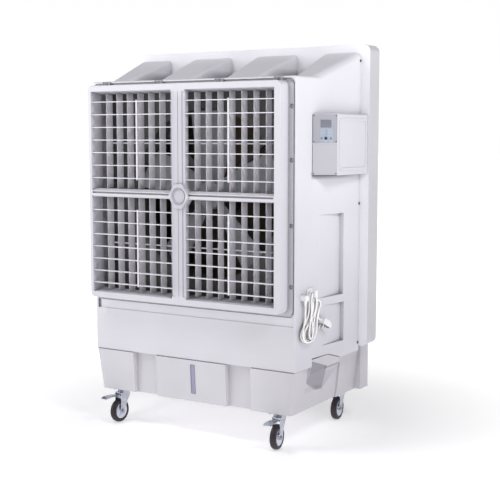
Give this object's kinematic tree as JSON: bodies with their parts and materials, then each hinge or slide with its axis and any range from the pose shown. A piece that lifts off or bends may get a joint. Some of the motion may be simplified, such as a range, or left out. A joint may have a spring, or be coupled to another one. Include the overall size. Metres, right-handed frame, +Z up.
{
  "type": "evaporative cooler",
  "caption": "Mobile evaporative air cooler: flared plastic cabinet with louvered outlet, fan, wet pad, water tank, side controls and casters.",
  "frame": {"origin": "bottom centre of the bounding box, on the floor under the wheels", "axes": "+X is the right side seen from the front, -Y is the louvered front, +Z is up"},
  "size_m": [1.1868, 0.7, 1.6],
  "materials": {
    "housing_plastic": "satin",
    "louver_plastic": "satin",
    "blade_plastic": "satin",
    "tank_plastic": "satin",
    "gauge_blue": "gloss",
    "pad_cellulose": "matte",
    "shroud_plastic": "matte",
    "fan_plastic": "satin",
    "motor_paint": "satin",
    "pump_plastic": "satin",
    "control_plastic": "satin",
    "display_film": "gloss",
    "button_plastic": "gloss",
    "hook_plastic": "satin",
    "zinc_steel": "satin",
    "screw_steel": "satin",
    "wheel_rubber": "matte",
    "cord_sheath": "satin",
    "cord_bundle": "satin",
    "plug_plastic": "satin"
  },
  "bodies": {
    "housing": {"cabinet": "housing_plastic", "louver_frame": "louver_plastic", "rear_cover": "housing_plastic", "cooling_pad": "pad_cellulose", "water_tank": "tank_plastic", "level_gauge": "gauge_blue", "fan_shroud": "shroud_plastic", "fan_motor": "motor_paint", "water_pump": "pump_plastic", "control_box": "control_plastic", "display_panel": "display_film", "cord_fittings": "hook_plastic", "caster_plates": "zinc_steel", "frame_screws": "screw_steel", "power_cord": "cord_sheath", "cord_hank": "cord_bundle", "cord_plug": "plug_plastic"},
    "blade_row_upper_1": {"blade_row_upper_1": "louver_plastic"},
    "blade_row_upper_2": {"blade_row_upper_2": "louver_plastic"},
    "blade_row_upper_3": {"blade_row_upper_3": "louver_plastic"},
    "blade_row_upper_4": {"blade_row_upper_4": "louver_plastic"},
    "blade_row_upper_5": {"blade_row_upper_5": "louver_plastic"},
    "blade_row_upper_6": {"blade_row_upper_6": "louver_plastic"},
    "blade_row_upper_7": {"blade_row_upper_7": "louver_plastic"},
    "tie_rods_upper": {"tie_rods_upper": "louver_plastic"},
    "blade_row_lower_1": {"blade_row_lower_1": "louver_plastic"},
    "blade_row_lower_2": {"blade_row_lower_2": "louver_plastic"},
    "blade_row_lower_3": {"blade_row_lower_3": "louver_plastic"},
    "blade_row_lower_4": {"blade_row_lower_4": "louver_plastic"},
    "blade_row_lower_5": {"blade_row_lower_5": "louver_plastic"},
    "blade_row_lower_6": {"blade_row_lower_6": "louver_plastic"},
    "blade_row_lower_7": {"blade_row_lower_7": "louver_plastic"},
    "tie_rods_lower": {"tie_rods_lower": "louver_plastic"},
    "blade_col_right_1": {"blade_col_right_1": "blade_plastic"},
    "blade_col_right_2": {"blade_col_right_2": "blade_plastic"},
    "blade_col_right_3": {"blade_col_right_3": "blade_plastic"},
    "blade_col_right_4": {"blade_col_right_4": "blade_plastic"},
    "blade_col_right_5": {"blade_col_right_5": "blade_plastic"},
    "blade_col_right_6": {"blade_col_right_6": "blade_plastic"},
    "blade_col_right_7": {"blade_col_right_7": "blade_plastic"},
    "blade_col_left_1": {"blade_col_left_1": "blade_plastic"},
    "blade_col_left_2": {"blade_col_left_2": "blade_plastic"},
    "blade_col_left_3": {"blade_col_left_3": "blade_plastic"},
    "blade_col_left_4": {"blade_col_left_4": "blade_plastic"},
    "blade_col_left_5": {"blade_col_left_5": "blade_plastic"},
    "blade_col_left_6": {"blade_col_left_6": "blade_plastic"},
    "blade_col_left_7": {"blade_col_left_7": "blade_plastic"},
    "tie_rods_columns": {"tie_rods_columns": "louver_plastic"},
    "fan": {"fan_rotor": "fan_plastic"},
    "power_button": {"power_button": "button_plastic"},
    "caster_front_left": {"caster_fork_front_left": "zinc_steel"},
    "wheel_front_left": {"caster_wheel_front_left": "wheel_rubber"},
    "pedal_front_left": {"brake_pedal_front_left": "zinc_steel"},
    "caster_front_right": {"caster_fork_front_right": "zinc_steel"},
    "wheel_front_right": {"caster_wheel_front_right": "wheel_rubber"},
    "pedal_front_right": {"brake_pedal_front_right": "zinc_steel"},
    "caster_rear_left": {"caster_fork_rear_left": "zinc_steel"},
    "wheel_rear_left": {"caster_wheel_rear_left": "wheel_rubber"},
    "caster_rear_right": {"caster_fork_rear_right": "zinc_steel"},
    "wheel_rear_right": {"caster_wheel_rear_right": "wheel_rubber"}
  },
  "joints": [
    {"name": "tilt_row_upper_1", "type": "hinge", "parent": "housing", "child": "blade_row_upper_1", "pos_m": [0, -0.324, 1.0595], "axis": [1, 0, 0], "range_deg": [-35, 35]},
    {"name": "tilt_row_upper_2", "type": "hinge", "parent": "housing", "child": "blade_row_upper_2", "pos_m": [0, -0.324, 1.1116], "axis": [1, 0, 0], "range_deg": [-35, 35]},
    {"name": "tilt_row_upper_3", "type": "hinge", "parent": "housing", "child": "blade_row_upper_3", "pos_m": [0, -0.324, 1.1637], "axis": [1, 0, 0], "range_deg": [-35, 35]},
    {"name": "tilt_row_upper_4", "type": "hinge", "parent": "housing", "child": "blade_row_upper_4", "pos_m": [0, -0.324, 1.2158], "axis": [1, 0, 0], "range_deg": [-35, 35]},
    {"name": "tilt_row_upper_5", "type": "hinge", "parent": "housing", "child": "blade_row_upper_5", "pos_m": [0, -0.324, 1.2679], "axis": [1, 0, 0], "range_deg": [-35, 35]},
    {"name": "tilt_row_upper_6", "type": "hinge", "parent": "housing", "child": "blade_row_upper_6", "pos_m": [0, -0.324, 1.32], "axis": [1, 0, 0], "range_deg": [-35, 35]},
    {"name": "tilt_row_upper_7", "type": "hinge", "parent": "housing", "child": "blade_row_upper_7", "pos_m": [0, -0.324, 1.3721], "axis": [1, 0, 0], "range_deg": [-35, 35]},
    {"name": "rod_upper_pivot", "type": "hinge", "parent": "blade_row_upper_1", "child": "tie_rods_upper", "pos_m": [0, -0.331, 1.0595], "axis": [1, 0, 0], "range_deg": [-35, 35]},
    {"name": "tilt_row_lower_1", "type": "hinge", "parent": "housing", "child": "blade_row_lower_1", "pos_m": [0, -0.324, 0.619], "axis": [1, 0, 0], "range_deg": [-35, 35]},
    {"name": "tilt_row_lower_2", "type": "hinge", "parent": "housing", "child": "blade_row_lower_2", "pos_m": [0, -0.324, 0.6702], "axis": [1, 0, 0], "range_deg": [-35, 35]},
    {"name": "tilt_row_lower_3", "type": "hinge", "parent": "housing", "child": "blade_row_lower_3", "pos_m": [0, -0.324, 0.7214], "axis": [1, 0, 0], "range_deg": [-35, 35]},
    {"name": "tilt_row_lower_4", "type": "hinge", "parent": "housing", "child": "blade_row_lower_4", "pos_m": [0, -0.324, 0.7726], "axis": [1, 0, 0], "range_deg": [-35, 35]},
    {"name": "tilt_row_lower_5", "type": "hinge", "parent": "housing", "child": "blade_row_lower_5", "pos_m": [0, -0.324, 0.8238], "axis": [1, 0, 0], "range_deg": [-35, 35]},
    {"name": "tilt_row_lower_6", "type": "hinge", "parent": "housing", "child": "blade_row_lower_6", "pos_m": [0, -0.324, 0.875], "axis": [1, 0, 0], "range_deg": [-35, 35]},
    {"name": "tilt_row_lower_7", "type": "hinge", "parent": "housing", "child": "blade_row_lower_7", "pos_m": [0, -0.324, 0.9262], "axis": [1, 0, 0], "range_deg": [-35, 35]},
    {"name": "rod_lower_pivot", "type": "hinge", "parent": "blade_row_lower_1", "child": "tie_rods_lower", "pos_m": [0, -0.331, 0.619], "axis": [1, 0, 0], "range_deg": [-35, 35]},
    {"name": "swing_col_right_1", "type": "hinge", "parent": "housing", "child": "blade_col_right_1", "pos_m": [0.058, -0.292, 0.794], "axis": [0, 0, 1], "range_deg": [-35, 35]},
    {"name": "swing_col_right_2", "type": "hinge", "parent": "housing", "child": "blade_col_right_2", "pos_m": [0.1126, -0.292, 0.794], "axis": [0, 0, 1], "range_deg": [-35, 35]},
    {"name": "swing_col_right_3", "type": "hinge", "parent": "housing", "child": "blade_col_right_3", "pos_m": [0.1672, -0.292, 0.794], "axis": [0, 0, 1], "range_deg": [-35, 35]},
    {"name": "swing_col_right_4", "type": "hinge", "parent": "housing", "child": "blade_col_right_4", "pos_m": [0.2218, -0.292, 0.794], "axis": [0, 0, 1], "range_deg": [-35, 35]},
    {"name": "swing_col_right_5", "type": "hinge", "parent": "housing", "child": "blade_col_right_5", "pos_m": [0.2764, -0.292, 0.794], "axis": [0, 0, 1], "range_deg": [-35, 35]},
    {"name": "swing_col_right_6", "type": "hinge", "parent": "housing", "child": "blade_col_right_6", "pos_m": [0.331, -0.292, 0.794], "axis": [0, 0, 1], "range_deg": [-35, 35]},
    {"name": "swing_col_right_7", "type": "hinge", "parent": "housing", "child": "blade_col_right_7", "pos_m": [0.3856, -0.292, 0.794], "axis": [0, 0, 1], "range_deg": [-35, 35]},
    {"name": "swing_col_left_1", "type": "hinge", "parent": "housing", "child": "blade_col_left_1", "pos_m": [-0.058, -0.292, 0.794], "axis": [0, 0, 1], "range_deg": [-35, 35]},
    {"name": "swing_col_left_2", "type": "hinge", "parent": "housing", "child": "blade_col_left_2", "pos_m": [-0.1126, -0.292, 0.794], "axis": [0, 0, 1], "range_deg": [-35, 35]},
    {"name": "swing_col_left_3", "type": "hinge", "parent": "housing", "child": "blade_col_left_3", "pos_m": [-0.1672, -0.292, 0.794], "axis": [0, 0, 1], "range_deg": [-35, 35]},
    {"name": "swing_col_left_4", "type": "hinge", "parent": "housing", "child": "blade_col_left_4", "pos_m": [-0.2218, -0.292, 0.794], "axis": [0, 0, 1], "range_deg": [-35, 35]},
    {"name": "swing_col_left_5", "type": "hinge", "parent": "housing", "child": "blade_col_left_5", "pos_m": [-0.2764, -0.292, 0.794], "axis": [0, 0, 1], "range_deg": [-35, 35]},
    {"name": "swing_col_left_6", "type": "hinge", "parent": "housing", "child": "blade_col_left_6", "pos_m": [-0.331, -0.292, 0.794], "axis": [0, 0, 1], "range_deg": [-35, 35]},
    {"name": "swing_col_left_7", "type": "hinge", "parent": "housing", "child": "blade_col_left_7", "pos_m": [-0.3856, -0.292, 0.794], "axis": [0, 0, 1], "range_deg": [-35, 35]},
    {"name": "rod_columns_pivot", "type": "hinge", "parent": "blade_col_right_1", "child": "tie_rods_columns", "pos_m": [0.058, -0.272, 0.994], "axis": [0, 0, 1], "range_deg": [-35, 35]},
    {"name": "fan_spin", "type": "hinge", "parent": "housing", "child": "fan", "pos_m": [0, -0.098, 0.99], "axis": [0, 1, 0], "continuous": true},
    {"name": "power_button_press", "type": "slide", "parent": "housing", "child": "power_button", "axis": [-0.5599, 0.8286, 0], "range_m": [0, 0.0012], "stiffness_N_per_m": 600},
    {"name": "swivel_front_left", "type": "hinge", "parent": "housing", "child": "caster_front_left", "pos_m": [-0.392, -0.214, 0.135], "axis": [0, 0, 1], "continuous": true},
    {"name": "roll_front_left", "type": "hinge", "parent": "caster_front_left", "child": "wheel_front_left", "pos_m": [-0.39336, -0.23996, 0.05], "axis": [0.9986, -0.0523, 0], "continuous": true},
    {"name": "pedal_press_front_left", "type": "hinge", "parent": "caster_front_left", "child": "pedal_front_left", "pos_m": [-0.39347, -0.24196, 0.118], "axis": [0.9986, -0.0523, 0], "range_deg": [0, 12]},
    {"name": "swivel_front_right", "type": "hinge", "parent": "housing", "child": "caster_front_right", "pos_m": [0.392, -0.214, 0.135], "axis": [0, 0, 1], "continuous": true},
    {"name": "roll_front_right", "type": "hinge", "parent": "caster_front_right", "child": "wheel_front_right", "pos_m": [0.39517, -0.23981, 0.05], "axis": [0.9925, 0.1219, 0], "continuous": true},
    {"name": "pedal_press_front_right", "type": "hinge", "parent": "caster_front_right", "child": "pedal_front_right", "pos_m": [0.39541, -0.24179, 0.118], "axis": [0.9925, 0.1219, 0], "range_deg": [0, 12]},
    {"name": "swivel_rear_left", "type": "hinge", "parent": "housing", "child": "caster_rear_left", "pos_m": [-0.392, 0.314, 0.135], "axis": [0, 0, 1], "continuous": true},
    {"name": "roll_rear_left", "type": "hinge", "parent": "caster_rear_left", "child": "wheel_rear_left", "pos_m": [-0.39064, 0.28804, 0.05], "axis": [0.9986, 0.0523, 0], "continuous": true},
    {"name": "swivel_rear_right", "type": "hinge", "parent": "housing", "child": "caster_rear_right", "pos_m": [0.392, 0.314, 0.135], "axis": [0, 0, 1], "continuous": true},
    {"name": "roll_rear_right", "type": "hinge", "parent": "caster_rear_right", "child": "wheel_rear_right", "pos_m": [0.39404, 0.28808, 0.05], "axis": [0.9969, 0.0785, 0], "continuous": true}
  ],
  "couplings": [
    {"joint": "tilt_row_upper_2", "follows": "tilt_row_upper_1", "ratio": 1},
    {"joint": "tilt_row_upper_3", "follows": "tilt_row_upper_1", "ratio": 1},
    {"joint": "tilt_row_upper_4", "follows": "tilt_row_upper_1", "ratio": 1},
    {"joint": "tilt_row_upper_5", "follows": "tilt_row_upper_1", "ratio": 1},
    {"joint": "tilt_row_upper_6", "follows": "tilt_row_upper_1", "ratio": 1},
    {"joint": "tilt_row_upper_7", "follows": "tilt_row_upper_1", "ratio": 1},
    {"joint": "rod_upper_pivot", "follows": "tilt_row_upper_1", "ratio": -1},
    {"joint": "tilt_row_lower_2", "follows": "tilt_row_lower_1", "ratio": 1},
    {"joint": "tilt_row_lower_3", "follows": "tilt_row_lower_1", "ratio": 1},
    {"joint": "tilt_row_lower_4", "follows": "tilt_row_lower_1", "ratio": 1},
    {"joint": "tilt_row_lower_5", "follows": "tilt_row_lower_1", "ratio": 1},
    {"joint": "tilt_row_lower_6", "follows": "tilt_row_lower_1", "ratio": 1},
    {"joint": "tilt_row_lower_7", "follows": "tilt_row_lower_1", "ratio": 1},
    {"joint": "rod_lower_pivot", "follows": "tilt_row_lower_1", "ratio": -1},
    {"joint": "swing_col_right_2", "follows": "swing_col_right_1", "ratio": 1},
    {"joint": "swing_col_right_3", "follows": "swing_col_right_1", "ratio": 1},
    {"joint": "swing_col_right_4", "follows": "swing_col_right_1", "ratio": 1},
    {"joint": "swing_col_right_5", "follows": "swing_col_right_1", "ratio": 1},
    {"joint": "swing_col_right_6", "follows": "swing_col_right_1", "ratio": 1},
    {"joint": "swing_col_right_7", "follows": "swing_col_right_1", "ratio": 1},
    {"joint": "swing_col_left_1", "follows": "swing_col_right_1", "ratio": 1},
    {"joint": "swing_col_left_2", "follows": "swing_col_right_1", "ratio": 1},
    {"joint": "swing_col_left_3", "follows": "swing_col_right_1", "ratio": 1},
    {"joint": "swing_col_left_4", "follows": "swing_col_right_1", "ratio": 1},
    {"joint": "swing_col_left_5", "follows": "swing_col_right_1", "ratio": 1},
    {"joint": "swing_col_left_6", "follows": "swing_col_right_1", "ratio": 1},
    {"joint": "swing_col_left_7", "follows": "swing_col_right_1", "ratio": 1},
    {"joint": "rod_columns_pivot", "follows": "swing_col_right_1", "ratio": -1}
  ]
}
